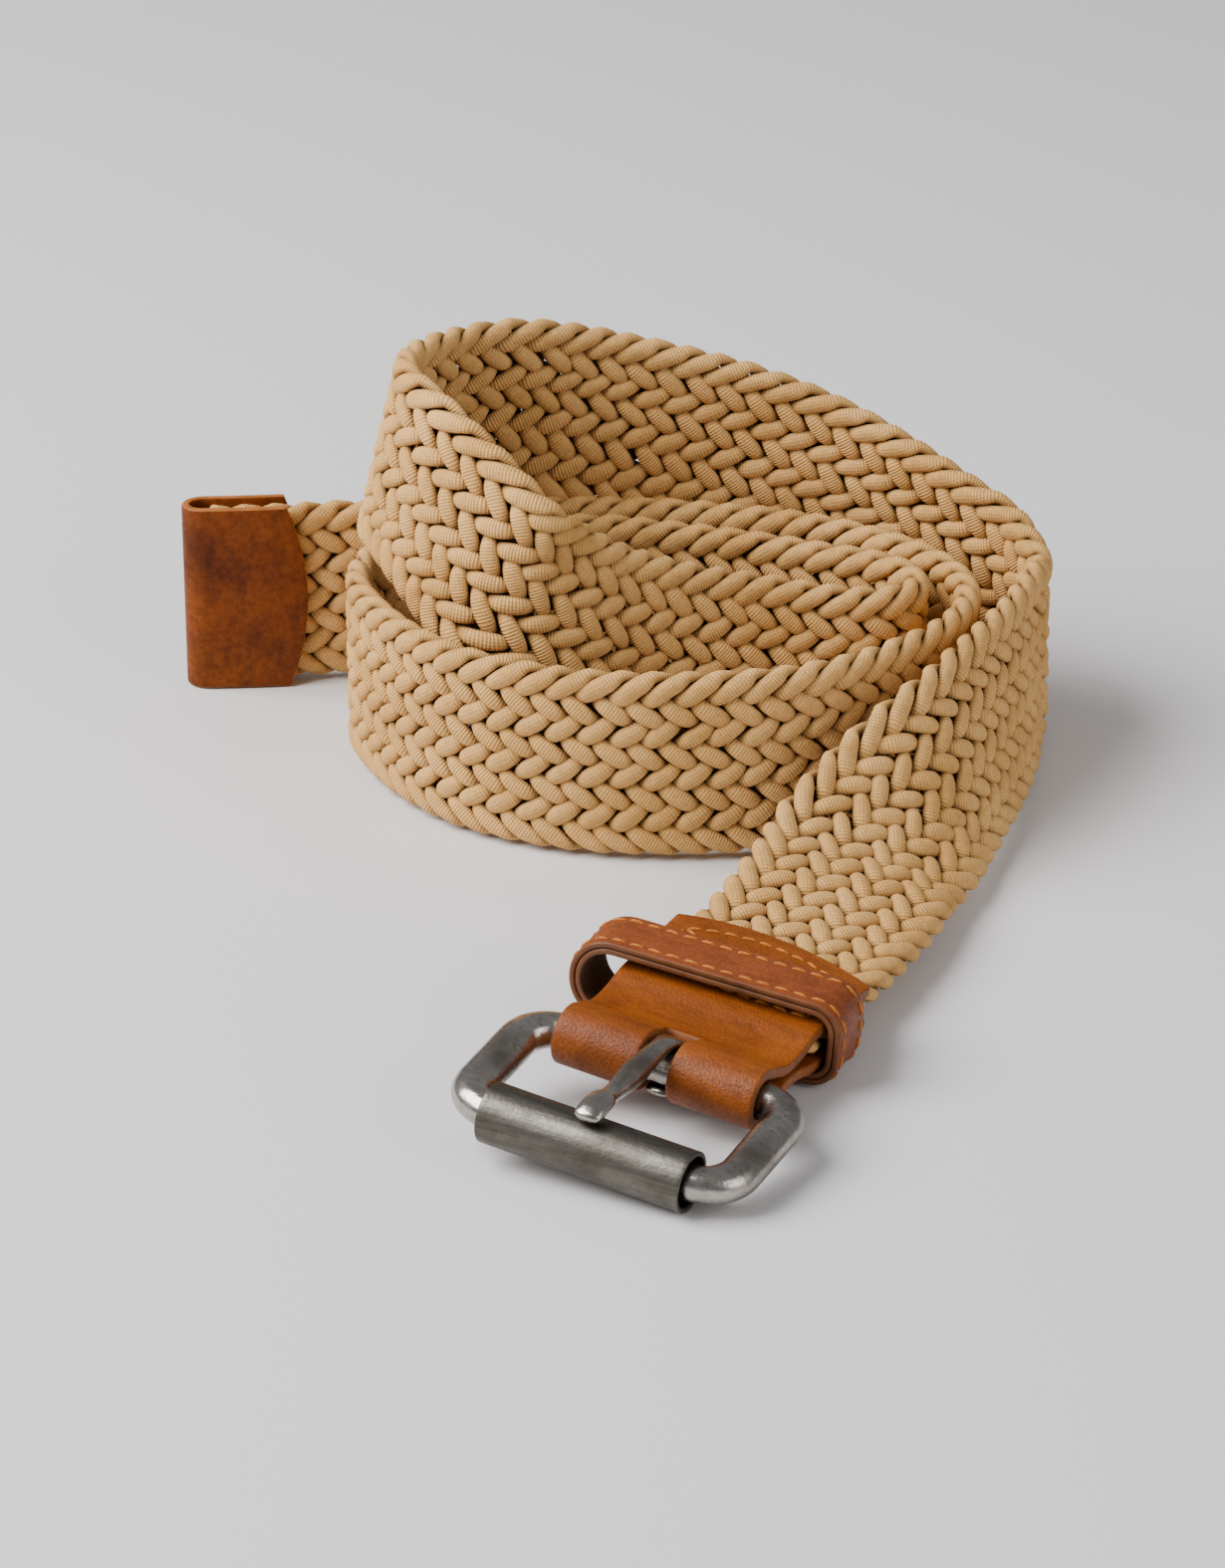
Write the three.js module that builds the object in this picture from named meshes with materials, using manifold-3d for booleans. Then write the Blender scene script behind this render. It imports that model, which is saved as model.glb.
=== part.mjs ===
// A braided stretch belt, coiled and lying on its edge, with leather trims and a roller buckle.
// Millimetres, +Z up. The strap stands on z = 0 and its buckle lies flat in front of the coil.
import * as THREE from "three";
import { ParametricGeometry } from "three/addons/geometries/ParametricGeometry.js";
import { mergeVertices } from "three/addons/utils/BufferGeometryUtils.js";
import Module from "manifold-3d";

const wasm = await Module();
wasm.setup();

// ---- driving sizes ----
const strapWidth = 38;
const strapThickness = 5;
const sewnThickness = 4;        // the braid where it is pressed flat under leather
const strapStep = 5;            // spacing of the strap's sections along its length
const clearance = 0.25;         // between pieces that touch

const leather = 2;              // buckle tab
const tabInset = 0.25;          // each side of the tab stands inside the strap's edge by this
const tabWidth = strapWidth - 2 * tabInset;
const tabSide = 39.5;           // from the bar's axis to the tab's rear corners
const tabCrown = 4;             // how far the rear edge bows past its corners
const pinchAt = 9;              // where the two leaves come closest, behind the bar
const pinchHalf = 3.2;          // outer half height there
const strapInset = 14.5;        // from the bar's axis to the end of the braid
const slotWidth = 6;
const slotRear = 6.5;           // the prong slot's end behind the bar's axis

const barRadius = 3.1;          // rod of the buckle frame
const barPlay = 0.3;            // the tab's and the prong's play on the rod
const frameRoom = 5.85;         // from each side of the tab to the side arm's centre line
const frameWidth = tabWidth + 2 * frameRoom;
const frameLength = 25.5;       // from the back bar's axis to the front bar's
const frameCorner = 6;
const frameTilt = 7.2;          // degrees by which the frame droops from the tab

const rollerRadius = 5.25;
const rollerWall = 0.8;
const rollerInset = 5.8;        // from the side arm's centre line to the roller's end
const rollerLength = frameWidth - 2 * rollerInset;

const prongThickness = 1.9;     // the strip round the bar
const prongWidth = 5.3;
const neckWidth = 3.6;
const headWidth = 4.8;
const headRise = 2.4;           // thickness of the head over the roller
const headOver = 1.3;           // how far the head reaches past the roller's axis

const keeperAt = 24.5;          // keeper's middle behind the bar's axis
const keeperBand = 11;
const keeperRoom = 3.5;         // spare half width over the strap
const keeperInnerHalf = strapWidth / 2 + keeperRoom;
const keeperLoose = 0.8;        // room over the thread, above and below the tab
const keeperShift = -2.5;       // it hangs towards one side of the tab
const keeperLift = 0.4;
const keeperYaw = 4;            // degrees
const keeperFace = 1.1;
const keeperLining = 1.1;
const layerGap = 0.15;
const keeperRound = 2.6;        // inner corner radius of the lining

const threadWidth = 0.75;
const threadRise = 0.35;
const threadLift = 0.15;
const threadStep = 3;
const boxInset = 3.6;           // stitch box inside the tab's rear and side edges
const boxFront = 22;            // its front line behind the bar's axis
const keeperRowInset = 1.7;     // the keeper's rows inside its two edges

const tipLeather = 1.6;
const tipInset = 0.2;
const tipWidth = strapWidth - 2 * tipInset;
const tipSide = 20;             // tip cover's length at its corners
const tipCrown = 3.7;
const tipNose = 4.4;            // length of the folded end ahead of the braid

const middle = [-0.54, -54.13];  // plan centre of the whole belt in the stations' numbers

// ---- route of the strap, from the tip to the buckle's back bar ----
// each station is x, y, z of the strap's middle, then how far it leans inwards, in degrees
const stations = [
  [-84, 44, 19, 0], [-68, 45, 19, 0], [-52, 47, 19, 0], [-36, 47.5, 19, 0],
  [-20, 48.5, 19, 0], [-4, 49, 19, 0], [12, 47.5, 19, 0], [28, 44, 19, 0],
  [42, 38.5, 19, 0], [53, 31, 19, 0], [61, 22.5, 19, 0], [65.5, 12, 19, 0],
  [65, 1.5, 19, 0], [60.6, -8.2, 19, 0], [52.8, -17, 19, 0], [41.5, -26, 19, 0],
  [28, -31.5, 19, 0], [12, -33.5, 19, 0], [-4, -32.5, 19, 0], [-18, -28, 19, 0],
  [-30, -20.5, 19, 0], [-39, -10, 19, 0], [-45, 1, 19, 0], [-48.5, 12, 19, 0],
  [-47.5, 23, 19, 0], [-41.5, 32, 19, 0], [-31, 37, 19, 0], [-17, 39.5, 19, 0],
  [-2, 40, 19, 0], [13, 36, 19, 0], [28, 31, 19, 0], [40, 26, 19, 0],
  [49.5, 22, 19, 0], [55.6, 16, 19, 0], [55.8, 9, 19.1, 0], [50.5, 4.8, 19.2, 0],
  [42, 4.3, 19.5, 0], [30, 5.8, 20.5, 2], [17, 4.5, 22.5, 6], [4, 0.5, 26.5, 10],
  [-8, -4.5, 33, 14], [-19, -6, 41, 18], [-28.5, 0, 50, 18], [-37, 9.5, 56.3, 16],
  [-42.5, 20, 58.2, 14], [-41.5, 31, 58.3, 12], [-34, 41, 57.8, 11], [-21.5, 49, 56.8, 10],
  [-6, 54, 53, 8], [10, 55, 49, 6], [25, 54.5, 44.8, 5], [39, 52, 40, 4],
  [52, 47, 34.5, 3], [64, 40, 29, 2], [74.2, 32.8, 23.6, 1], [79.9, 21.7, 19.8, 1],
  [77.8, 10.2, 19.4, 3.2], [75.2, -0.3, 19.3, 8], [71.6, -10.4, 19.3, 13], [67.4, -20.6, 19.2, 18],
  [62.5, -30.5, 18.4, 24], [56.8, -39.2, 16.7, 34.5], [50.8, -47.6, 14, 51], [45, -56.7, 12.2, 63.2],
  [40.9, -67.4, 11.2, 70], [35.8, -78.3, 10.3, 75.5], [30.4, -89.3, 9.8, 79.5], [24.8, -100, 9.8, 82.5],
  [19.2, -110.6, 9.8, 84.5], [13.5, -121.2, 9.9, 85], [7.8, -131.8, 10, 85],
];

// Catmull-Rom through the stations, with each end continued straight
const stationAt = (q) => {
  const last = stations.length - 1;
  const i = Math.min(Math.max(Math.floor(q), 0), last - 1);
  const t = q - i;
  const row = (k) => stations[Math.min(Math.max(k, 0), last)];
  const ends = (k) => (k < 0 ? row(0).map((v, j) => 2 * v - row(1)[j]) : null)
    ?? (k > last ? row(last).map((v, j) => 2 * v - row(last - 1)[j]) : row(k));
  const [a, b, c, d] = [ends(i - 1), row(i), row(i + 1), ends(i + 2)];
  return b.map((v, j) => 0.5 * (2 * v + (c[j] - a[j]) * t
    + (2 * a[j] - 5 * v + 4 * c[j] - d[j]) * t * t
    + (3 * v - a[j] - 3 * c[j] + d[j]) * t * t * t));
};

// distance behind the back bar's axis for each fine step of the route
const stepsPerStation = 16;
const fineSteps = (stations.length - 1) * stepsPerStation;
const fine = Array.from({ length: fineSteps + 1 }, (_, k) => stationAt(k / stepsPerStation));
const behind = new Array(fineSteps + 1).fill(0);
for (let k = fineSteps - 1; k >= 0; k -= 1) {
  const gap = Math.hypot(...[0, 1, 2].map((j) => fine[k + 1][j] - fine[k][j]));
  behind[k] = behind[k + 1] + gap;
}
const routeLength = behind[0];

// strap's own axes at a distance behind the bar: across, back along the strap, and out of its face
const axesAt = (distance) => {
  const inside = Math.min(Math.max(distance, 0), routeLength);
  let k = 0;
  while (k < fineSteps - 1 && behind[k + 1] > inside) k += 1;
  const q = (k + (behind[k] - inside) / (behind[k] - behind[k + 1])) / stepsPerStation;
  const here = stationAt(q);
  const last = stations.length - 1;
  const before = new THREE.Vector3(...stationAt(Math.max(q - 0.05, 0)));
  const after = new THREE.Vector3(...stationAt(Math.min(q + 0.05, last)));
  const back = before.sub(after).normalize();
  const up = new THREE.Vector3(0, 0, 1).addScaledVector(back, -back.z).normalize();
  const side = new THREE.Vector3().crossVectors(up, back);
  const lean = THREE.MathUtils.degToRad(here[3]);
  const across = up.multiplyScalar(-Math.cos(lean)).addScaledVector(side, -Math.sin(lean));
  const out = new THREE.Vector3().crossVectors(across, back);
  const origin = new THREE.Vector3(here[0] - middle[0], here[1] - middle[1], here[2]);
  origin.addScaledVector(back, distance - inside);
  return new THREE.Matrix4().makeBasis(across, back, out).setPosition(origin);
};

// lays a straight piece (x across, y behind the bar, z out of the face) along the route
const alongRoute = (geometry, squash = () => 1) => {
  const position = geometry.attributes.position;
  const point = new THREE.Vector3();
  for (let i = 0; i < position.count; i += 1) {
    point.fromBufferAttribute(position, i);
    const axes = axesAt(point.y);
    point.set(point.x, 0, point.z * squash(point.y)).applyMatrix4(axes);
    position.setXYZ(i, point.x, point.y, point.z);
  }
  return geometry;
};

// ---- small helpers ----
const material = (color, roughness, metalness = 0) =>
  new THREE.MeshStandardMaterial({ color, roughness, metalness });

const named = (name, geometry, look) => {
  const mesh = new THREE.Mesh(geometry, look);
  mesh.name = name;
  return mesh;
};

const toSolid = (geometry) => {
  const plain = geometry.clone();
  plain.deleteAttribute("normal");
  plain.deleteAttribute("uv");
  const merged = mergeVertices(plain, 1e-4);
  const vertProperties = new Float32Array(merged.attributes.position.array);
  const triVerts = new Uint32Array(merged.index.array);
  return new wasm.Manifold(new wasm.Mesh({ numProp: 3, vertProperties, triVerts }));
};

const toGeometry = (solid) => {
  const mesh = solid.getMesh();
  const geometry = new THREE.BufferGeometry();
  geometry.setAttribute("position", new THREE.BufferAttribute(mesh.vertProperties, 3));
  geometry.setIndex(new THREE.BufferAttribute(mesh.triVerts, 1));
  geometry.computeVertexNormals();
  return geometry;
};

const shapeOf = (points) => new THREE.Shape(points.map(([x, y]) => new THREE.Vector2(x, y)));

const arcPoints = (radius, from, to, count) => Array.from({ length: count + 1 }, (_, i) => {
  const angle = THREE.MathUtils.degToRad(from + ((to - from) * i) / count);
  return [radius * Math.cos(angle), radius * Math.sin(angle)];
});

// section drawn in x and z, run from one distance to another along y
const runAlong = (shape, from, to, steps, curveSegments = 2) => {
  const options = { depth: to - from, steps, bevelEnabled: false, curveSegments };
  return new THREE.ExtrudeGeometry(shape, options).rotateX(Math.PI / 2).translate(0, to, 0);
};

// side profile drawn in y and z, run across x
const runAcross = (shape, width, curveSegments = 6) => {
  const options = { depth: width, steps: 1, bevelEnabled: false, curveSegments };
  const turn = new THREE.Matrix4().makeBasis(
    new THREE.Vector3(0, 1, 0), new THREE.Vector3(0, 0, 1), new THREE.Vector3(1, 0, 0));
  return new THREE.ExtrudeGeometry(shape, options).applyMatrix4(turn).translate(-width / 2, 0, 0);
};

const roundedRectangle = (halfX, halfY, radius) => {
  const shape = new THREE.Shape();
  shape.moveTo(halfX - radius, -halfY);
  shape.absarc(halfX - radius, radius - halfY, radius, -Math.PI / 2, 0, false);
  shape.absarc(halfX - radius, halfY - radius, radius, 0, Math.PI / 2, false);
  shape.absarc(radius - halfX, halfY - radius, radius, Math.PI / 2, Math.PI, false);
  shape.absarc(radius - halfX, radius - halfY, radius, Math.PI, Math.PI * 1.5, false);
  shape.closePath();
  return shape;
};

// ---- strap: one flat braid of stretch cords, pressed thinner where leather grips it ----
const sewnHalf = sewnThickness / 2;
const leafHalf = sewnHalf + clearance + leather;
const gripEase = 8;
const pressed = (distance) => {
  const ahead = distance - tabSide - tabCrown;
  const tipGrip = routeLength - tipSide - tipCrown - distance;
  const free = THREE.MathUtils.smoothstep(Math.min(ahead, tipGrip), -1, gripEase);
  return THREE.MathUtils.lerp(sewnThickness / strapThickness, 1, free);
};

const makeStrap = () => {
  const half = strapThickness / 2;
  const section = roundedRectangle(strapWidth / 2, half, half - 0.01);
  const to = routeLength - tipNose;
  const steps = Math.round((to - strapInset) / strapStep);
  return alongRoute(runAlong(section, strapInset, to, steps, 1), pressed);
};

// ---- buckle tab: one leather strip folded round the bar, slotted for the prong ----
const foldOutline = (half, pinch, radius, rear) => {
  const steps = 7;
  const leaf = Array.from({ length: steps + 1 }, (_, i) => {
    const y = THREE.MathUtils.lerp(strapInset - 0.6, rear, i / steps);
    return [y, half];
  });
  const top = [[pinchAt - 3, pinch + 0.4], [pinchAt, pinch], [pinchAt + 2.5, pinch + 0.4], ...leaf];
  const lobe = arcPoints(radius, 52, 308, 20);
  const under = top.map(([y, z]) => [y, -z]);
  return [...top.reverse(), ...lobe, ...under];
};

const rearCurve = (inset = 0) => {
  const half = tabWidth / 2 - inset;
  const side = tabSide - inset;
  return new THREE.QuadraticBezierCurve(
    new THREE.Vector2(half, side), new THREE.Vector2(0, side + 2 * tabCrown),
    new THREE.Vector2(-half, side));
};

const makeTab = () => {
  const boreRadius = barRadius + barPlay;
  const past = tabSide + tabCrown + 3;
  const outer = foldOutline(leafHalf, pinchHalf, boreRadius + leather, past);
  const inner = foldOutline(leafHalf - leather, pinchHalf - leather, boreRadius, past);
  const outline = [...outer, ...inner.reverse()];
  const folded = alongRoute(runAcross(shapeOf(outline), tabWidth));
  const tall = 30;
  const rear = rearCurve().getPoints(16).map((p) => [p.x, p.y]);
  const front = [[-tabWidth / 2 - 1, -tall], [tabWidth / 2 + 1, -tall]];
  const edge = [...front, [tabWidth / 2 + 1, tabSide - 1], ...rear, [-tabWidth / 2 - 1, tabSide - 1]];
  const upright = { depth: tall, steps: 1, bevelEnabled: false };
  const plan = new THREE.ExtrudeGeometry(shapeOf(edge), upright).translate(0, 0, -tall / 2);
  const slotLength = boreRadius + leather + 2 + slotRear;
  const slot = new THREE.BoxGeometry(slotWidth, slotLength, tall);
  slot.translate(0, slotRear - slotLength / 2, 0);
  const cut = toSolid(folded).intersect(toSolid(alongRoute(plan)));
  return toGeometry(cut.subtract(toSolid(alongRoute(slot))));
};

// ---- stitching: a box with a cross in it, as one thread lying on the leather ----
const splitEdges = (points) => points.flatMap(([x, y], i) => {
  const [nextX, nextY] = points[(i + 1) % points.length];
  const count = Math.ceil(Math.hypot(nextX - x, nextY - y) / threadStep);
  return Array.from({ length: count }, (_, k) => [x + ((nextX - x) * k) / count, y + ((nextY - y) * k) / count]);
});

// moves each edge of an outline that runs anticlockwise inwards by the given distance
const insetBy = (points, distance) => points.map((corner, i) => {
  const count = points.length;
  const before = points[(i + count - 1) % count];
  const after = points[(i + 1) % count];
  const normal = ([ax, ay], [bx, by]) => {
    const length = Math.hypot(bx - ax, by - ay);
    return [(ay - by) / length, (bx - ax) / length];
  };
  const [mx, my] = normal(before, corner);
  const [nx, ny] = normal(corner, after);
  const scale = distance / (1 + mx * nx + my * ny);
  return [corner[0] + (mx + nx) * scale, corner[1] + (my + ny) * scale];
});

const makeTabStitching = (side) => {
  const half = tabWidth / 2 - boxInset;
  const rear = tabSide - boxInset;
  const wide = threadWidth / 2;
  const bow = rearCurve(boxInset).getPoints(10).map((p) => [p.x, p.y]);
  const [right, left] = [[half, rear], [-half, rear]];
  const [frontLeft, frontRight] = [[-half, boxFront], [half, boxFront]];
  const centre = [0, (rear + boxFront) / 2];
  const outline = (points, distance) => shapeOf(splitEdges(insetBy(points, distance)));
  const box = outline([...bow, frontLeft, frontRight], -wide);
  const windows = [[...bow, centre], [left, frontLeft, centre],
    [frontLeft, frontRight, centre], [frontRight, right, centre]];
  box.holes = windows.map((points) => outline(points, wide));
  const thread = { depth: threadRise, steps: 1, bevelEnabled: false };
  const height = side > 0 ? leafHalf + threadLift : -leafHalf - threadLift - threadRise;
  return alongRoute(new THREE.ExtrudeGeometry(box, thread).translate(0, 0, height));
};

// ---- keeper: a loop of lined leather, free to slide on the tab ----
const keeperInnerHeight = leafHalf + threadLift + threadRise + keeperLoose;

const keeperOutline = (grow) => {
  const height = keeperInnerHeight + grow;
  return roundedRectangle(keeperInnerHalf + grow, height, Math.min(keeperRound + grow, height - 0.01));
};

const makeKeeperLayer = (inside, wall) => {
  const ring = keeperOutline(inside + wall);
  ring.holes.push(keeperOutline(inside));
  return runAlong(ring, -keeperBand / 2, keeperBand / 2, 1, 4);
};

const makeKeeperRow = (row) => {
  const outside = keeperLining + layerGap + keeperFace + threadLift;
  const ring = keeperOutline(outside + threadRise);
  ring.holes.push(keeperOutline(outside));
  return runAlong(ring, row - threadWidth / 2, row + threadWidth / 2, 1, 4);
};

// ---- buckle, about the back bar's axis: x along the bar, y towards the strap ----
const makeFrame = () => {
  const loop = roundedRectangle(frameWidth / 2, frameLength / 2, frameCorner);
  const turn = Math.PI * 2;
  const rod = (u, v, target) => {
    const at = loop.getPointAt(u % 1);
    const along = loop.getTangentAt(u % 1);
    const outward = barRadius * Math.cos(turn * v);
    target.set(at.x + along.y * outward, at.y - along.x * outward, barRadius * Math.sin(turn * v));
  };
  return new ParametricGeometry(rod, 72, 16).translate(0, -frameLength / 2, 0);
};

const makeRoller = () => {
  const inner = rollerRadius - rollerWall;
  const half = rollerLength / 2;
  const wall = [[inner, -half], [rollerRadius, -half], [rollerRadius, half], [inner, half], [inner, -half]];
  const profile = wall.map(([x, y]) => new THREE.Vector2(x, y));
  return new THREE.LatheGeometry(profile, 32).rotateZ(Math.PI / 2).translate(0, -frameLength, 0);
};

const makeProng = () => {
  const bore = barRadius + barPlay;
  const ring = bore + prongThickness;
  const seat = rollerRadius + 0.3;
  const onRoller = (past) => [-frameLength - past, Math.sqrt(seat * seat - past * past)];
  const headTop = seat + headRise;
  const headBack = -frameLength + 5;
  const under = [[-3.6, 2.9], [-9, 3], [-15, 3.6], [-frameLength + 6.2, 3.9]];
  const seatArc = [-3.9, -2.6, -1.3, 0, headOver].map(onRoller);
  const nose = [[-frameLength - headOver - 0.6, seat - 0.3], [-frameLength - headOver, headTop - 0.8]];
  const over = [[-frameLength - 1.5, headTop], [headBack, headTop - 0.3], [headBack + 2.4, ring + 1.7],
    [-13, ring + 1.3], [-7, ring + 0.6]];
  const body = shapeOf([[1, 4.6], [0, ring - 0.05], ...over.reverse(), ...nose.reverse(),
    ...seatArc.reverse(), ...under.reverse()]);
  const collar = new THREE.Shape();
  collar.absarc(0, 0, ring, 0, Math.PI * 2, false);
  const wide = 12;
  const side = toSolid(runAcross(body, wide)).add(toSolid(runAcross(collar, wide, 12)));
  const waist = -frameLength + 8;
  const halves = [[ring + 1, prongWidth / 2], [-8, prongWidth / 2], [-12, prongWidth / 2 - 0.15],
    [waist + 2, neckWidth / 2 + 0.1], [waist, neckWidth / 2], [headBack, headWidth / 2],
    [-frameLength - headOver, headWidth / 2 - 0.1], [-frameLength - headOver - 2, headWidth / 2 - 0.5]];
  const right = halves.map(([y, x]) => [x, y]);
  const left = halves.map(([y, x]) => [-x, y]).reverse();
  const upright = { depth: 40, steps: 1, bevelEnabled: false };
  const plan = new THREE.ExtrudeGeometry(shapeOf([...right, ...left]), upright).translate(0, 0, -20);
  const hole = new THREE.CylinderGeometry(bore, bore, wide + 1, 24).rotateZ(Math.PI / 2);
  return toGeometry(side.intersect(toSolid(plan)).subtract(toSolid(hole)));
};

// ---- tip cover: one leather piece folded round the other end of the braid ----
const makeTip = () => {
  const hollow = sewnHalf + clearance;
  const past = tipSide + tipCrown + 3;
  const steps = 5;
  const leaf = Array.from({ length: steps + 1 }, (_, i) => tipNose + ((past - tipNose) * (steps - i)) / steps);
  const fold = (half, start) => {
    const nose = arcPoints(1, 90, 270, 10).slice(1, -1)
      .map(([c, s]) => [tipNose + c * (tipNose - start), s * half]);
    return [...leaf.map((t) => [t, half]), ...nose, ...leaf.map((t) => [t, -half]).reverse()];
  };
  const loop = [...fold(hollow + tipLeather, 0), ...fold(hollow, tipLeather).reverse()];
  const outline = loop.map(([t, z]) => [routeLength - t, z]);
  const folded = alongRoute(runAcross(shapeOf(outline), tipWidth));
  const half = tipWidth / 2;
  const side = routeLength - tipSide;
  const edge = new THREE.QuadraticBezierCurve(
    new THREE.Vector2(-half, side), new THREE.Vector2(0, side - 2 * tipCrown),
    new THREE.Vector2(half, side)).getPoints(14).map((p) => [p.x, p.y]);
  const end = routeLength + 2;
  const plan = [[half + 1, side + 1], [half + 1, end], [-half - 1, end], [-half - 1, side + 1], ...edge];
  const tall = 20;
  const upright = { depth: tall, steps: 1, bevelEnabled: false };
  const cutter = new THREE.ExtrudeGeometry(shapeOf(plan), upright).translate(0, 0, -tall / 2);
  return toGeometry(toSolid(folded).intersect(toSolid(alongRoute(cutter))));
};

// ---- the whole belt ----
const looks = {
  braid: material(0xcdaa7d, 0.85),
  tab: material(0x9a5a30, 0.5),
  keeper: material(0x8f5735, 0.55),
  lining: material(0x4a3626, 0.9),
  tip: material(0x7a4420, 0.55),
  thread: material(0xb9763f, 0.7),
  frame: material(0x6f6c66, 0.35, 1),
  roller: material(0x77746c, 0.4, 1),
  prong: material(0x68635c, 0.35, 1),
};

const belt = new THREE.Group();
belt.add(named("braided_strap", makeStrap(), looks.braid));
belt.add(named("buckle_tab", makeTab(), looks.tab));
belt.add(named("tab_stitching_top", makeTabStitching(1), looks.thread));
belt.add(named("tab_stitching_under", makeTabStitching(-1), looks.thread));
belt.add(named("tip_cover", makeTip(), looks.tip));

const keeper = new THREE.Group();
keeper.applyMatrix4(axesAt(keeperAt));
keeper.translateX(keeperShift).translateZ(keeperLift);
keeper.rotateZ(THREE.MathUtils.degToRad(keeperYaw));
keeper.add(named("keeper_lining", makeKeeperLayer(0, keeperLining), looks.lining));
keeper.add(named("keeper_face", makeKeeperLayer(keeperLining + layerGap, keeperFace), looks.keeper));
const keeperRow = keeperBand / 2 - keeperRowInset;
keeper.add(named("keeper_stitching_front", makeKeeperRow(-keeperRow), looks.thread));
keeper.add(named("keeper_stitching_rear", makeKeeperRow(keeperRow), looks.thread));
belt.add(keeper);

const buckle = new THREE.Group();
buckle.applyMatrix4(axesAt(0));
buckle.rotateX(THREE.MathUtils.degToRad(frameTilt));
buckle.add(named("buckle_frame", makeFrame(), looks.frame));
buckle.add(named("roller", makeRoller(), looks.roller));
buckle.add(named("prong", makeProng(), looks.prong));
belt.add(buckle);

export default belt;
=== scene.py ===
import math
import random

import bpy
import numpy as np
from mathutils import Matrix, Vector


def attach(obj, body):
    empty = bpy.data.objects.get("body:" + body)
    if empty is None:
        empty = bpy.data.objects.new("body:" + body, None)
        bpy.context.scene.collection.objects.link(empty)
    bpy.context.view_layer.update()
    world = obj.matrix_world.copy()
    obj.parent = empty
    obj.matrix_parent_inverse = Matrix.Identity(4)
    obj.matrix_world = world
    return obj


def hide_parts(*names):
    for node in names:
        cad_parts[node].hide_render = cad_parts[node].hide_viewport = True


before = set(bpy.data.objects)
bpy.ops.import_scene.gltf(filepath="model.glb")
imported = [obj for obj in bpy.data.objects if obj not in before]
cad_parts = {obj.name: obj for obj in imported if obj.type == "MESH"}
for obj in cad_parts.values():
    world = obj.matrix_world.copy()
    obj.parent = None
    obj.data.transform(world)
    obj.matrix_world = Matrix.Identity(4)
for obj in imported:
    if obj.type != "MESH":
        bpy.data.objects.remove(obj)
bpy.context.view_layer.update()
print("frame loaded")

# camera, in front of the buckle and looking down on the coil
cameraValues = {
    "target": (-0.0002, 0.0517, 0),
    "distance": 1.0319,
    "downward": 25.6,
    "lens": 125.71,
}


def addCamera(values):
    down = math.radians(values["downward"])
    x, y, z = values["target"]
    back = values["distance"] * math.cos(down)
    height = values["distance"] * math.sin(down)
    bpy.ops.object.camera_add(location=(x, y - back, z + height), rotation=(math.pi / 2 - down, 0, 0))
    camera = bpy.context.object
    camera.data.sensor_fit = "VERTICAL"
    camera.data.sensor_height = 36
    camera.data.lens = values["lens"]
    camera.data.clip_end = 20
    bpy.context.scene.camera = camera


addCamera(cameraValues)

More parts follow.
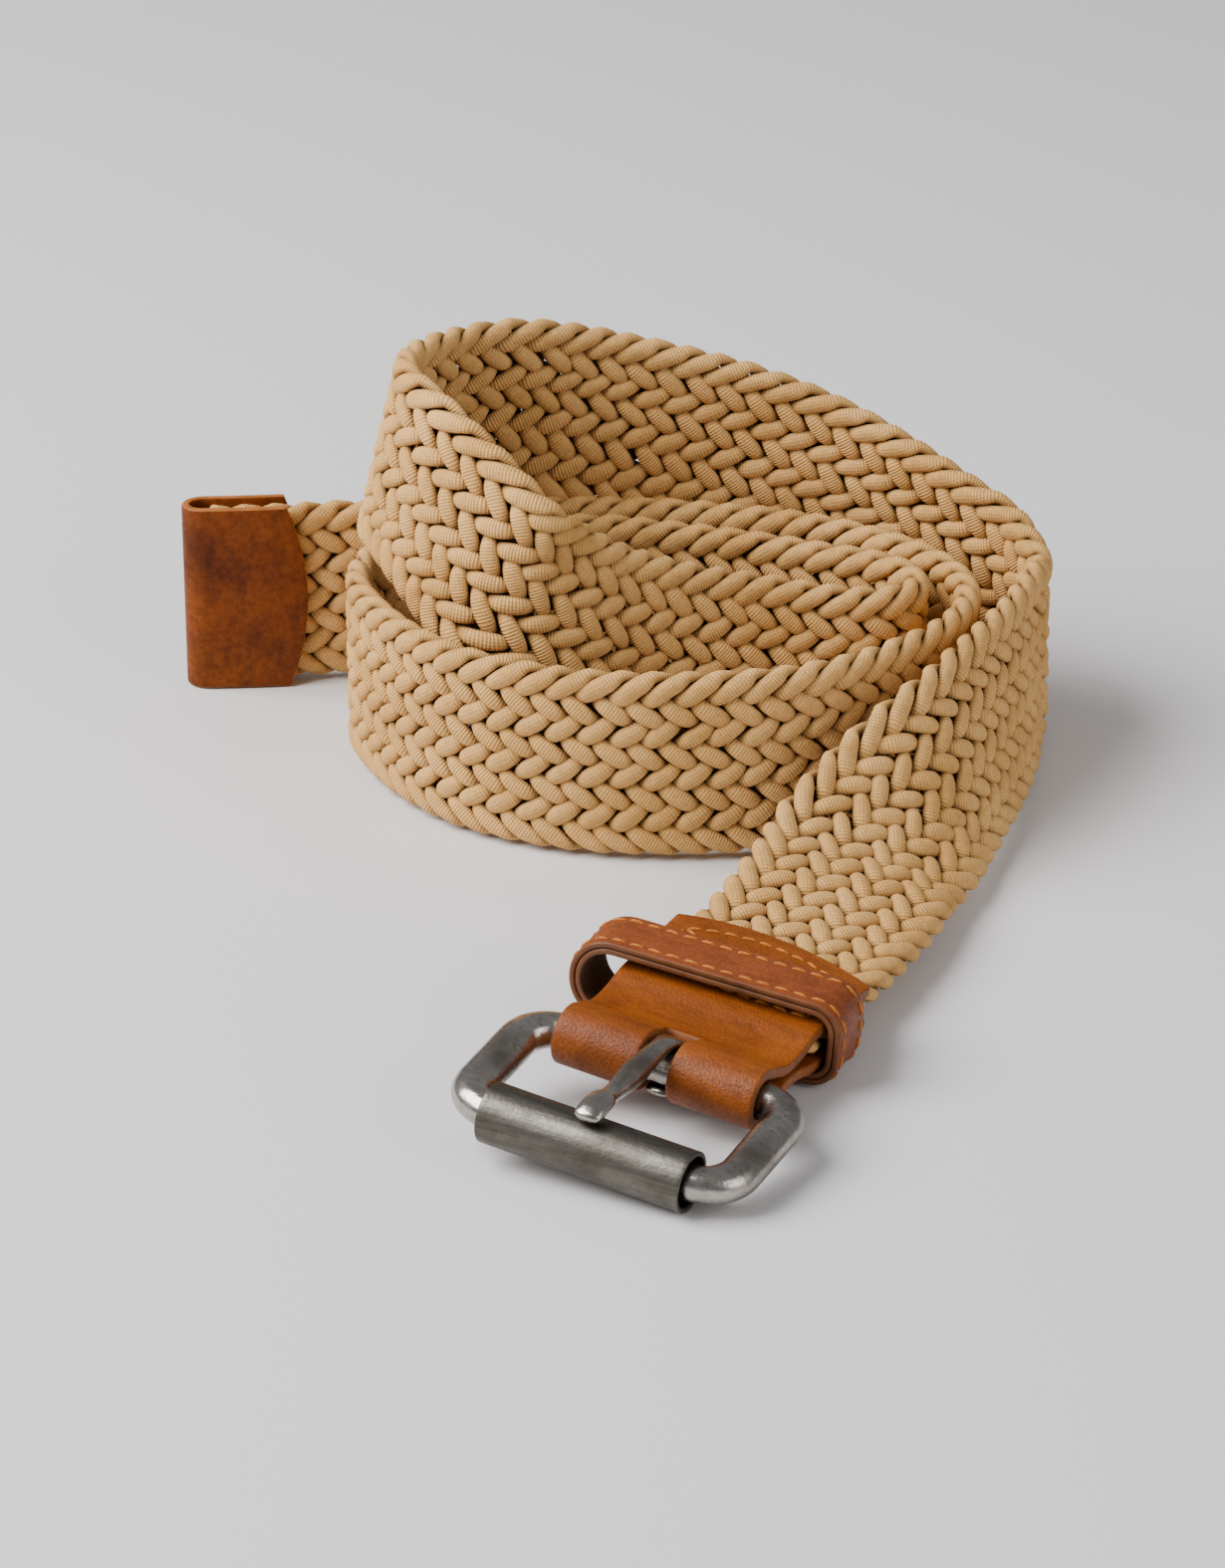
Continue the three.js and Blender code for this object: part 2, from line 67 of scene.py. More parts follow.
# the strap's route from the tip to the back bar: x, y, z of its middle and its lean in degrees
stations = [
    (-0.084, 0.044, 0.019, 0), (-0.068, 0.045, 0.019, 0), (-0.052, 0.047, 0.019, 0),
    (-0.036, 0.0475, 0.019, 0), (-0.02, 0.0485, 0.019, 0), (-0.004, 0.049, 0.019, 0),
    (0.012, 0.0475, 0.019, 0), (0.028, 0.044, 0.019, 0), (0.042, 0.0385, 0.019, 0),
    (0.053, 0.031, 0.019, 0), (0.061, 0.0225, 0.019, 0), (0.0655, 0.012, 0.019, 0),
    (0.065, 0.0015, 0.019, 0), (0.0606, -0.0082, 0.019, 0), (0.0528, -0.017, 0.019, 0),
    (0.0415, -0.026, 0.019, 0), (0.028, -0.0315, 0.019, 0), (0.012, -0.0335, 0.019, 0),
    (-0.004, -0.0325, 0.019, 0), (-0.018, -0.028, 0.019, 0), (-0.03, -0.0205, 0.019, 0),
    (-0.039, -0.01, 0.019, 0), (-0.045, 0.001, 0.019, 0), (-0.0485, 0.012, 0.019, 0),
    (-0.0475, 0.023, 0.019, 0), (-0.0415, 0.032, 0.019, 0), (-0.031, 0.037, 0.019, 0),
    (-0.017, 0.0395, 0.019, 0), (-0.002, 0.04, 0.019, 0), (0.013, 0.036, 0.019, 0),
    (0.028, 0.031, 0.019, 0), (0.04, 0.026, 0.019, 0), (0.0495, 0.022, 0.019, 0),
    (0.0556, 0.016, 0.019, 0), (0.0558, 0.009, 0.0191, 0), (0.0505, 0.0048, 0.0192, 0),
    (0.042, 0.0043, 0.0195, 0), (0.03, 0.0058, 0.0205, 2), (0.017, 0.0045, 0.0225, 6),
    (0.004, 0.0005, 0.0265, 10), (-0.008, -0.0045, 0.033, 14), (-0.019, -0.006, 0.041, 18),
    (-0.0285, 0, 0.05, 18), (-0.037, 0.0095, 0.0563, 16), (-0.0425, 0.02, 0.0582, 14),
    (-0.0415, 0.031, 0.0583, 12), (-0.034, 0.041, 0.0578, 11), (-0.0215, 0.049, 0.0568, 10),
    (-0.006, 0.054, 0.053, 8), (0.01, 0.055, 0.049, 6), (0.025, 0.0545, 0.0448, 5),
    (0.039, 0.052, 0.04, 4), (0.052, 0.047, 0.0345, 3), (0.064, 0.04, 0.029, 2),
    (0.0742, 0.0328, 0.0236, 1), (0.0799, 0.0217, 0.0198, 1), (0.0778, 0.0102, 0.0194, 3.2),
    (0.0752, -0.0003, 0.0193, 8), (0.0716, -0.0104, 0.0193, 13), (0.0674, -0.0206, 0.0192, 18),
    (0.0625, -0.0305, 0.0184, 24), (0.0568, -0.0392, 0.0167, 34.5), (0.0508, -0.0476, 0.014, 51),
    (0.045, -0.0567, 0.0122, 63.2), (0.0409, -0.0674, 0.0112, 70), (0.0358, -0.0783, 0.0103, 75.5),
    (0.0304, -0.0893, 0.0098, 79.5), (0.0248, -0.1, 0.0098, 82.5), (0.0192, -0.1106, 0.0098, 84.5),
    (0.0135, -0.1212, 0.0099, 85), (0.0078, -0.1318, 0.01, 85),
]
middle = (-0.00054, -0.05413)

# the sizes that the leather and the metal take from the model
belt = {
    "strapHalf": 0.0025,
    "sewnShare": 0.8,
    "tabHalf": 0.01875,
    "tabSide": 0.0395,
    "tabCrown": 0.004,
    "leather": 0.002,
    "leafHalf": 0.00425,
    "slotHalf": 0.003,
    "slotRear": 0.0065,
    "tilt": 7.2,
    "bar": 0.0031,
    "bore": 0.0034,
    "frameHalf": 0.0246,
    "frameLength": 0.0255,
    "tipSide": 0.02,
    "tipCrown": 0.0037,
    "tipNose": 0.0044,
    "tipHalf": 0.0188,
}


def makeRoute():
    rows = np.array([(x - middle[0], y - middle[1], z, lean) for x, y, z, lean in stations])
    ends = np.vstack([2 * rows[0] - rows[1], rows, 2 * rows[-1] - rows[-2]])
    last = len(rows) - 1

    def at(q):
        i = np.clip(np.floor(q).astype(int), 0, last - 1)
        t = (q - i)[:, None]
        a, b, c, d = ends[i], ends[i + 1], ends[i + 2], ends[i + 3]
        bend = (2 * a - 5 * b + 4 * c - d) * t * t + (3 * b - a - 3 * c + d) * t ** 3
        return 0.5 * (2 * b + (c - a) * t + bend)

    q = np.linspace(0, last, last * 16 + 1)
    points = at(q)
    gaps = np.linalg.norm(np.diff(points[:, :3], axis=0), axis=1)
    behind = np.concatenate([np.cumsum(gaps[::-1])[::-1], [0]])
    back = at(np.maximum(q - 0.05, 0))[:, :3] - at(np.minimum(q + 0.05, last))[:, :3]
    order = slice(None, None, -1)          # distances rise from the buckle to the tip
    return {"behind": behind[order], "points": points[order], "back": back[order], "length": behind[0]}


route = makeRoute()


# axes of the strap at distances behind the back bar: origin, across, back and out of its face
def axesAt(distance):
    distance = np.atleast_1d(np.asarray(distance, float))
    inside = np.clip(distance, 0, route["length"])

    def read(table):
        columns = [np.interp(inside, route["behind"], table[:, j]) for j in range(table.shape[1])]
        return np.stack(columns, 1)

    here = read(route["points"])
    back = read(route["back"])
    back /= np.linalg.norm(back, axis=1)[:, None]
    up = np.array([0, 0, 1.0]) - back * back[:, 2:3]
    up /= np.linalg.norm(up, axis=1)[:, None]
    side = np.cross(up, back)
    lean = np.radians(here[:, 3:4])
    across = -up * np.cos(lean) - side * np.sin(lean)
    out = np.cross(across, back)
    origin = here[:, :3] + back * (distance - inside)[:, None]
    return origin, across, back, out


# lays points given as x across, y behind the bar and z out of the face along the route
def alongRoute(points):
    points = np.asarray(points, float)
    origin, across, back, out = axesAt(points[:, 1])
    return origin + across * points[:, :1] + out * points[:, 2:3]


# how thin the braid is pressed where leather grips it
def pressed(distance):
    ahead = distance - belt["tabSide"] - belt["tabCrown"]
    tipGrip = route["length"] - belt["tipSide"] - belt["tipCrown"] - distance
    t = np.clip((np.minimum(ahead, tipGrip) + 0.001) / 0.009, 0, 1)
    return belt["sewnShare"] + (1 - belt["sewnShare"]) * t * t * (3 - 2 * t)


# points given about the back bar: x along it, y towards the strap, z up, turned by the frame's tilt
def aboutBar(points):
    origin, across, back, out = (v[0] for v in axesAt(0))
    tilt = math.radians(belt["tilt"])
    y = back * math.cos(tilt) + out * math.sin(tilt)
    z = out * math.cos(tilt) - back * math.sin(tilt)
    return origin + np.asarray(points, float) @ np.array([across, y, z])


def deselect():
    if bpy.context.object and bpy.context.object.mode != "OBJECT":
        bpy.ops.object.mode_set(mode="OBJECT")
    bpy.ops.object.select_all(action="DESELECT")


def coordinates(piece):
    values = np.zeros(len(piece.data.vertices) * 3)
    piece.data.vertices.foreach_get("co", values)
    return values.reshape(-1, 3)


def place(piece, points):
    piece.data.vertices.foreach_set("co", np.asarray(points, float).ravel())
    piece.data.update()


def applyAll(piece):
    deselect()
    piece.select_set(True)
    bpy.context.view_layer.objects.active = piece
    for modifier in list(piece.modifiers):
        bpy.ops.object.modifier_apply(modifier=modifier.name)


def outward(piece):
    deselect()
    piece.select_set(True)
    bpy.context.view_layer.objects.active = piece
    bpy.ops.object.mode_set(mode="EDIT")
    bpy.ops.mesh.select_all(action="SELECT")
    bpy.ops.mesh.remove_doubles(threshold=0.00001)
    bpy.ops.mesh.normals_make_consistent(inside=False)
    bpy.ops.object.mode_set(mode="OBJECT")


def smooth(piece, angle=40):
    deselect()
    piece.select_set(True)
    bpy.context.view_layer.objects.active = piece
    bpy.ops.object.shade_smooth_by_angle(angle=math.radians(angle))


# gives a piece its body and its materials, and hides the model's nodes that it stands for
def settle(piece, body, nodes, *materials):
    for index, material in enumerate(materials):
        if index < len(piece.data.materials):
            piece.data.materials[index] = material
        else:
            piece.data.materials.append(material)
    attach(piece, body)
    if nodes:
        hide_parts(*nodes)
    return piece


# a smooth line through points in a plane, resampled evenly
def evenLine(points, step, closed=False, rounds=2):
    line = np.asarray(points, float)
    for _ in range(rounds):
        following = np.roll(line, -1, 0) if closed else line[1:]
        leading = line if closed else line[:-1]
        cut = np.stack([leading * 0.75 + following * 0.25, leading * 0.25 + following * 0.75], 1)
        cut = cut.reshape(-1, line.shape[1])
        line = cut if closed else np.vstack([line[:1], cut, line[-1:]])
    if closed:
        line = np.vstack([line, line[:1]])
    length = np.concatenate([[0], np.cumsum(np.linalg.norm(np.diff(line, axis=0), axis=1))])
    count = max(int(round(length[-1] / step)), 8)
    at = np.linspace(0, length[-1], count + 1)
    return np.stack([np.interp(at, length, line[:, j]) for j in range(line.shape[1])], 1), at


def arc(radius, start, stop, count):
    angle = np.radians(np.linspace(start, stop, count))
    return np.stack([radius * np.cos(angle), radius * np.sin(angle)], 1)


# materials
def newMaterial(name):
    material = bpy.data.materials.new(name)
    material.use_nodes = True
    tree = material.node_tree
    shader = tree.nodes["Principled BSDF"]
    return material, tree, shader


def noise(tree, vector, scale, detail=4, roughness=0.55):
    node = tree.nodes.new("ShaderNodeTexNoise")
    node.inputs["Scale"].default_value = scale
    node.inputs["Detail"].default_value = detail
    node.inputs["Roughness"].default_value = roughness
    tree.links.new(vector, node.inputs["Vector"])
    return node.outputs["Fac"]


def ramp(tree, factor, stops):
    node = tree.nodes.new("ShaderNodeValToRGB")
    band = node.color_ramp
    while len(band.elements) < len(stops):
        band.elements.new(0.5)
    for element, (position, colour) in zip(band.elements, stops):
        element.position = position
        element.color = (*colour, 1) if len(colour) == 3 else colour
    tree.links.new(factor, node.inputs["Fac"])
    return node.outputs["Color"]


def grey(value):
    return (value, value, value)


def mix(tree, blend, factor, first, second):
    node = tree.nodes.new("ShaderNodeMix")
    node.data_type = "RGBA"
    node.blend_type = blend
    for socket, value in ((node.inputs[0], factor), (node.inputs[6], first), (node.inputs[7], second)):
        if isinstance(value, bpy.types.NodeSocket):
            tree.links.new(value, socket)
        elif isinstance(value, tuple):
            socket.default_value = (*value, 1)
        else:
            socket.default_value = value
    return node.outputs[2]


def sums(tree, operation, first, second):
    node = tree.nodes.new("ShaderNodeMath")
    node.operation = operation
    for socket, value in ((node.inputs[0], first), (node.inputs[1], second)):
        if isinstance(value, bpy.types.NodeSocket):
            tree.links.new(value, socket)
        else:
            socket.default_value = value
    return node.outputs[0]


def bump(tree, height, distance, strength=1.0, under=None):
    node = tree.nodes.new("ShaderNodeBump")
    node.inputs["Distance"].default_value = distance
    node.inputs["Strength"].default_value = strength
    tree.links.new(height, node.inputs["Height"])
    if under is not None:
        tree.links.new(under, node.inputs["Normal"])
    return node.outputs["Normal"]


def objectPoint(tree, stretch=(1, 1, 1), turn=(0, 0, 0)):
    source = tree.nodes.new("ShaderNodeTexCoord")
    mapping = tree.nodes.new("ShaderNodeMapping")
    mapping.vector_type = "TEXTURE"
    mapping.inputs["Scale"].default_value = [1 / share for share in stretch]
    mapping.inputs["Rotation"].default_value = turn
    tree.links.new(source.outputs["Object"], mapping.inputs["Vector"])
    return mapping.outputs["Vector"]


def attribute(tree, name):
    node = tree.nodes.new("ShaderNodeAttribute")
    node.attribute_name = name
    return node.outputs["Fac"]


def uvWave(tree, stretch, turn, distortion=0.0):
    source = tree.nodes.new("ShaderNodeUVMap")
    source.uv_map = "length"
    mapping = tree.nodes.new("ShaderNodeMapping")
    mapping.inputs["Scale"].default_value = stretch
    mapping.inputs["Rotation"].default_value = (0, 0, math.radians(turn))
    tree.links.new(source.outputs["UV"], mapping.inputs["Vector"])
    wave = tree.nodes.new("ShaderNodeTexWave")
    wave.inputs["Scale"].default_value = 1.0
    wave.inputs["Distortion"].default_value = distortion
    wave.inputs["Detail"].default_value = 1.0
    tree.links.new(mapping.outputs["Vector"], wave.inputs["Vector"])
    return wave.outputs["Fac"]


clothValues = {
    "light": (0.755, 0.43, 0.15),
    "warm": (0.61, 0.325, 0.097),
    # deep: the painted shade for the crevices between the cords
    "deep": (0.085, 0.033, 0.007),
    "ribPitch": 0.52,          # millimetres between the ribs of the sheath
    "ribDepth": 0.00013,
    "roughness": 0.75,
    "sheen": 0.03,
}


def clothMaterial(values):
    material, tree, shader = newMaterial("cordSheath")
    point = objectPoint(tree)
    patches = noise(tree, point, 55, 3)
    fine = noise(tree, point, 900, 3)
    base = mix(tree, "MIX", ramp(tree, patches, [(0.35, grey(0)), (0.68, grey(1))]),
               values["light"], values["warm"])
    base = mix(tree, "MULTIPLY", 1.0, base, ramp(tree, fine, [(0.2, grey(0.8)), (0.75, grey(1.06))]))
    # painted shade: the colour goes towards the deep colour in the crevices between the cords, by a per-point
    # share that is 0 there and 1 on the cords' tops and near the edges
    unshadedShare = ramp(tree, attribute(tree, "unshaded"), [(0.12, grey(0)), (0.8, grey(1))])
    base = mix(tree, "MIX", unshadedShare, values["deep"], base)
    ribs = uvWave(tree, (math.pi / 10 / values["ribPitch"], 0.22, 1), 0, 1.2)
    lines = uvWave(tree, (0.01, 0.5, 1), 90, 1.5)
    shade = ramp(tree, ribs, [(0.1, grey(0.8)), (0.7, grey(1.05))])
    base = mix(tree, "MULTIPLY", 1.0, base, shade)
    tree.links.new(base, shader.inputs["Base Color"])
    height = sums(tree, "ADD", ribs, sums(tree, "MULTIPLY", lines, 0.3))
    height = sums(tree, "ADD", height, sums(tree, "MULTIPLY", fine, 0.8))
    tree.links.new(bump(tree, height, values["ribDepth"]), shader.inputs["Normal"])
    shader.inputs["Roughness"].default_value = values["roughness"]
    shader.inputs["Sheen Weight"].default_value = values["sheen"]
    shader.inputs["Sheen Roughness"].default_value = 0.5
    shader.inputs["Sheen Tint"].default_value = (1.0, 0.86, 0.66, 1)
    shader.inputs["Specular IOR Level"].default_value = 0.12
    return material


leatherValues = {
    "tab": {"light": (0.26, 0.062, 0.005), "dark": (0.17, 0.038, 0.003), "grain": 2100,
            "depth": 0.00018, "roughness": (0.34, 0.55), "specular": 0.24},
    "keeper": {"light": (0.22, 0.052, 0.012), "dark": (0.17, 0.038, 0.008), "grain": 1500,
               "depth": 0.00006, "roughness": (0.42, 0.6), "specular": 0.28},
    "tip": {"light": (0.20, 0.045, 0.003), "dark": (0.09, 0.017, 0.001), "grain": 800,
            "depth": 0.00004, "roughness": (0.45, 0.6), "specular": 0.16},
}


def leatherMaterial(name, values):
    material, tree, shader = newMaterial(name)
    point = objectPoint(tree)
    cloudy = noise(tree, point, 70, 5, 0.6)
    speckle = noise(tree, point, values["grain"], 3, 0.6)
    lines = noise(tree, objectPoint(tree, (1, 3.2, 1), (0, 0, math.radians(-28))), 160, 4, 0.65)
    base = mix(tree, "MIX", ramp(tree, cloudy, [(0.32, grey(0)), (0.7, grey(1))]),
               values["dark"], values["light"])
    base = mix(tree, "MULTIPLY", 0.75, base, ramp(tree, speckle, [(0.3, grey(0.6)), (0.62, grey(1.12))]))
    base = mix(tree, "MULTIPLY", 0.6, base, ramp(tree, lines, [(0.36, grey(0.62)), (0.52, grey(1.05))]))
    tree.links.new(base, shader.inputs["Base Color"])
    low, high = values["roughness"]
    tree.links.new(ramp(tree, speckle, [(0.3, grey(high)), (0.65, grey(low))]), shader.inputs["Roughness"])
    height = sums(tree, "ADD", speckle, sums(tree, "MULTIPLY", lines, 0.8))
    tree.links.new(bump(tree, height, values["depth"]), shader.inputs["Normal"])
    shader.inputs["Specular IOR Level"].default_value = values["specular"]
    return material


def plainLeather(name, colour, roughness, scale, depth):
    material, tree, shader = newMaterial(name)
    point = objectPoint(tree)
    patches = noise(tree, point, scale, 4)
    base = mix(tree, "MULTIPLY", 1.0, colour, ramp(tree, patches, [(0.3, grey(0.65)), (0.7, grey(1.15))]))
    tree.links.new(base, shader.inputs["Base Color"])
    tree.links.new(bump(tree, patches, depth), shader.inputs["Normal"])
    shader.inputs["Roughness"].default_value = roughness
    shader.inputs["Specular IOR Level"].default_value = 0.25
    return material


threadValues = {"colour": (0.46, 0.145, 0.022), "twist": 2400}


def threadMaterial(name, values):
    material, tree, shader = newMaterial(name)
    point = objectPoint(tree)
    strands = noise(tree, point, values["twist"], 2)
    base = mix(tree, "MULTIPLY", 1.0, values["colour"],
               ramp(tree, strands, [(0.3, grey(0.6)), (0.7, grey(1.25))]))
    tree.links.new(base, shader.inputs["Base Color"])
    tree.links.new(bump(tree, strands, 0.00006), shader.inputs["Normal"])
    shader.inputs["Roughness"].default_value = 0.6
    shader.inputs["Specular IOR Level"].default_value = 0.2
    return material


pewterValues = {
    "rod": {"bright": (0.50, 0.475, 0.44), "dark": (0.20, 0.185, 0.165), "warm": (0.24, 0.15, 0.10),
            "roughness": (0.18, 0.34), "streaks": 0.3},
    "tube": {"bright": (0.15, 0.139, 0.12), "dark": (0.085, 0.077, 0.065), "warm": (0.07, 0.06, 0.05),
             "roughness": (0.36, 0.5), "streaks": 0.55},
}


def pewterMaterial(name, values, turn):
    material, tree, shader = newMaterial(name)
    point = objectPoint(tree)
    clouds = noise(tree, point, 120, 5, 0.62)
    pits = noise(tree, point, 950, 4, 0.6)
    brushed = noise(tree, objectPoint(tree, (0.12, 2.4, 2.4), (0, 0, math.radians(turn))), 620, 3)
    base = mix(tree, "MIX", ramp(tree, clouds, [(0.34, grey(0)), (0.64, grey(1))]),
               values["dark"], values["bright"])
    base = mix(tree, "MIX", ramp(tree, pits, [(0.30, grey(0.75)), (0.44, grey(0))]), base, values["dark"])
    base = mix(tree, "MIX", ramp(tree, brushed, [(0.34, grey(values["streaks"])), (0.56, grey(0))]), base,
               values["warm"])
    tree.links.new(base, shader.inputs["Base Color"])
    low, high = values["roughness"]
    tree.links.new(ramp(tree, clouds, [(0.3, grey(high)), (0.7, grey(low))]), shader.inputs["Roughness"])
    height = sums(tree, "ADD", sums(tree, "MULTIPLY", pits, 1.0), sums(tree, "MULTIPLY", brushed, 0.6))
    height = sums(tree, "ADD", height, sums(tree, "MULTIPLY", clouds, 1.5))
    tree.links.new(bump(tree, height, 0.00006), shader.inputs["Normal"])
    shader.inputs["Metallic"].default_value = 1.0
    return material


cordSheath = clothMaterial(clothValues)
tabLeather = leatherMaterial("tabLeather", leatherValues["tab"])
keeperLeather = leatherMaterial("keeperLeather", leatherValues["keeper"])
tipLeather = leatherMaterial("tipLeather", leatherValues["tip"])
paintedEdge = plainLeather("paintedEdge", (0.15, 0.055, 0.02), 0.42, 260, 0.00003)
tabEdge = plainLeather("tabEdge", (0.20, 0.06, 0.014), 0.5, 400, 0.00004)
lightEdge = plainLeather("lightEdge", (0.34, 0.115, 0.022), 0.5, 300, 0.00003)
fleshSide = plainLeather("fleshSide", (0.085, 0.042, 0.022), 0.95, 1600, 0.00012)
seamThread = threadMaterial("seamThread", threadValues)
framePewter = pewterMaterial("framePewter", pewterValues["rod"], -28)
rollerPewter = pewterMaterial("rollerPewter", pewterValues["tube"], -28)
prongPewter = pewterMaterial("prongPewter", pewterValues["rod"], 62)
print("materials ready")


# the braid: seventeen cords, each over two and under two, from edge to edge and back
braidValues = {
    "cords": 17,
    "start": 0.0182,           # the cords end inside the tab, behind its pinched part
    "edgePitch": 0.0059,       # spacing of the lumps along each edge
    "halfWidth": 0.01725,      # how far a cord's middle swings from the strap's middle
    "cordWidth": 0.0035,
    "cordThick": 0.0025,
    "rise": 0.00130,           # height of a cord over the strap's middle plane
    "turn": 0.6,
    "taper": 0.28,             # share of its width that a cord loses where it dives
    "wander": 0.00016,         # how far a cord strays from its true path
    "steadyAt": 0.014,         # a cord stops straying sideways from here to the edge
    "steadyOver": 0.003,
    "opensAt": 0.0155,         # and takes no painted crevice shade from here outwards, where it lies fully in the light
    "opensOver": 0.003,
    "sagAt": 0.276,            # behind the bar, where the strap's lower half is let down
    "sagReach": 0.04,
    "sag": 0.0026,             # how far at the middle of an edge cord
    "samples": 6,
    "sides": 12,
}


def nearEdge(columns, turn):
    return np.sqrt(columns * columns + turn * turn)


# over and under as a wave from 1 to -1, with two columns to each and three round an edge
def overUnder(t, half):
    left = np.where(t > 2 * half - 1.5, t - 2 * half, t)
    right = t - half
    wave = np.where(t < half, -np.cos(math.pi * (left - 1.5) / 2), -np.cos(math.pi * (right - 1.5) / 2))
    wave = np.where(left < 1.5, np.cos(math.pi * (left + 1.5) / 3), wave)
    wave = np.where(np.abs(right) < 1.5, np.cos(math.pi * (right + 1.5) / 3), wave)
    return wave, np.tanh(1.6 * wave) / math.tanh(1.6)


def stray(draw, y, step, size):
    knots = np.arange(y[0] - step, y[-1] + 2 * step, step)
    values = np.array([draw.gauss(0, size) for _ in knots])
    share = np.interp(y, knots, np.arange(len(knots)))
    whole = np.minimum(share.astype(int), len(knots) - 2)
    blend = (1 - np.cos(math.pi * (share - whole))) / 2
    return np.clip(values[whole] * (1 - blend) + values[whole + 1] * blend, -2 * size, 2 * size)


def easeIn(t, start, span):
    s = np.clip((t - start) / span, 0, 1)
    return s * s * (3 - 2 * s)


def addCord(values, number):
    half = values["cords"]                          # crossing columns in one sweep across the strap
    columnStep = values["edgePitch"] / 2
    start = values["start"]
    stop = route["length"] - belt["tipNose"] - values["cordWidth"] / 2
    count = int((stop - start) / columnStep * values["samples"])
    y = np.linspace(start, stop, count)
    t = (y / columnStep + 2 * number) % (2 * half)
    left = np.minimum(t, 2 * half - t)
    right = np.abs(t - half)
    reach = nearEdge(np.array(float(half)), values["turn"]) - values["turn"]
    x = values["halfWidth"] * (nearEdge(left, values["turn"]) - nearEdge(right, values["turn"])) / reach
    lobe, wave = overUnder(t, half)
    draw = random.Random(40 + number)
    inner = 1 - np.clip((np.abs(x) - values["steadyAt"]) / values["steadyOver"], 0, 1)
    x = x + stray(draw, y, columnStep * 1.7, values["wander"]) * inner
    ahead = y + stray(draw, y, columnStep * 1.9, values["wander"])
    middleLine = np.stack([x, ahead, values["rise"] * wave], 1)
    tangent = np.gradient(middleLine, axis=0)
    tangent /= np.linalg.norm(tangent, axis=1)[:, None]
    # a cord lies flat between the edges and rolls over as it turns round them
    roll = -math.pi * np.where(t < half + 2, easeIn(t, half - 1.2, 2.4), 1 - easeIn(t, 2 * half - 1.2, 2.4))
    roll = np.where(t < 1.2, -math.pi * (1 - easeIn(t + 1.2, 0, 2.4)), roll)
    normal = np.stack([-np.sin(roll), np.zeros_like(roll), np.cos(roll)], 1)
    normal -= tangent * np.sum(tangent * normal, axis=1)[:, None]
    normal /= np.linalg.norm(normal, axis=1)[:, None]
    side = np.cross(tangent, normal)
    tight = 1 - np.abs(lobe) ** 0.8
    fuller = 1 + stray(draw, y, columnStep * 2.3, 0.035)
    halfWide = values["cordWidth"] / 2 * (1.05 - values["taper"] * tight) * fuller
    halfThick = values["cordThick"] / 2 * (1 - 0.08 * tight)
    angle = np.arange(values["sides"]) * 2 * math.pi / values["sides"]
    ring = (side[:, None] * (np.cos(angle)[None, :, None] * halfWide[:, None, None])
            + normal[:, None] * (np.sin(angle)[None, :, None] * halfThick[:, None, None]))
    local = middleLine[:, None] + ring
    limit = belt["strapHalf"] - 0.00002
    local[..., 2] = np.clip(local[..., 2], -limit, limit) * pressed(y)[:, None]
    sag = values["sag"] * np.exp(-((y - values["sagAt"]) / values["sagReach"]) ** 2)
    local[..., 0] += sag[:, None] * np.clip(local[..., 0] / values["halfWidth"], 0, 1.1)
    origin, across, back, out = axesAt(y)
    sheared = local[..., 1] - y[:, None]
    points = (origin[:, None] + across[:, None] * local[..., :1] + out[:, None] * local[..., 2:3]
              + back[:, None] * sheared[..., None])
    # painted shade: a share from 0 in the braid's middle plane, where cords dive under each other, to 1 on
    # their tops and near the edges beyond opensAt
    outer = (np.abs(local[..., 0]) - values["opensAt"]) / values["opensOver"]
    unshadedShare = np.maximum(np.abs(local[..., 2]) / limit, outer)
    sides = values["sides"]
    index = np.arange(count * sides).reshape(count, sides)
    this, after = index[:-1], index[1:]
    quads = np.stack([this, after, np.roll(after, -1, 1), np.roll(this, -1, 1)], -1).reshape(-1, 4)
    faces = [tuple(q) for q in quads.tolist()] + [tuple(index[0].tolist()), tuple(index[-1][::-1].tolist())]
    mesh = bpy.data.meshes.new("braid_cord_%02d" % (number + 1))
    mesh.from_pydata(points.reshape(-1, 3).tolist(), [], faces)
    mesh.polygons.foreach_set("use_smooth", [True] * len(mesh.polygons))
    # the sheath's pattern follows the cord, in millimetres along it and round it
    gone = np.concatenate([[0], np.cumsum(np.linalg.norm(np.diff(middleLine, axis=0), axis=1))]) * 1000
    girth = math.pi * values["cordWidth"] * 1000 * 0.85
    lengths = np.stack([gone[:-1], gone[1:], gone[1:], gone[:-1]], 1)
    lengths = np.repeat(lengths[:, None], sides, 1).reshape(-1)
    near = np.arange(sides) / sides * girth
    far = (np.arange(sides) + 1) / sides * girth
    rounds = np.tile(np.stack([near, near, far, far], 1).reshape(-1), count - 1)
    layer = mesh.uv_layers.new(name="length")
    capped = np.zeros(sides * 2 * 2)
    layer.data.foreach_set("uv", np.concatenate([np.stack([lengths, rounds], 1).ravel(), capped]))
    # the share for the sheath's painted crevice shade, kept on each point
    lift = mesh.attributes.new("unshaded", "FLOAT", "POINT")
    lift.data.foreach_set("value", np.clip(unshadedShare, 0, 1).ravel().astype(np.float32))
    piece = bpy.data.objects.new(mesh.name, mesh)
    bpy.context.scene.collection.objects.link(piece)
    return settle(piece, "belt", ["braided_strap"], cordSheath)


for number in range(braidValues["cords"]):
    addCord(braidValues, number)
print("braid laid:", round(route["length"], 4), "m of route")


# leather is cut as a flat sheet, bent along a line and given its thickness and rounded edges
def bendSheet(name, columns, rows, shape, leather, edge, offset=0.0):
    deselect()
    bpy.ops.mesh.primitive_grid_add(x_subdivisions=columns, y_subdivisions=rows, size=2)
    sheet = bpy.context.object
    sheet.name = sheet.data.name = name
    flat = coordinates(sheet)
    place(sheet, shape(flat[:, 0], flat[:, 1]))
    thicken(sheet, leather, edge, offset)
    return sheet


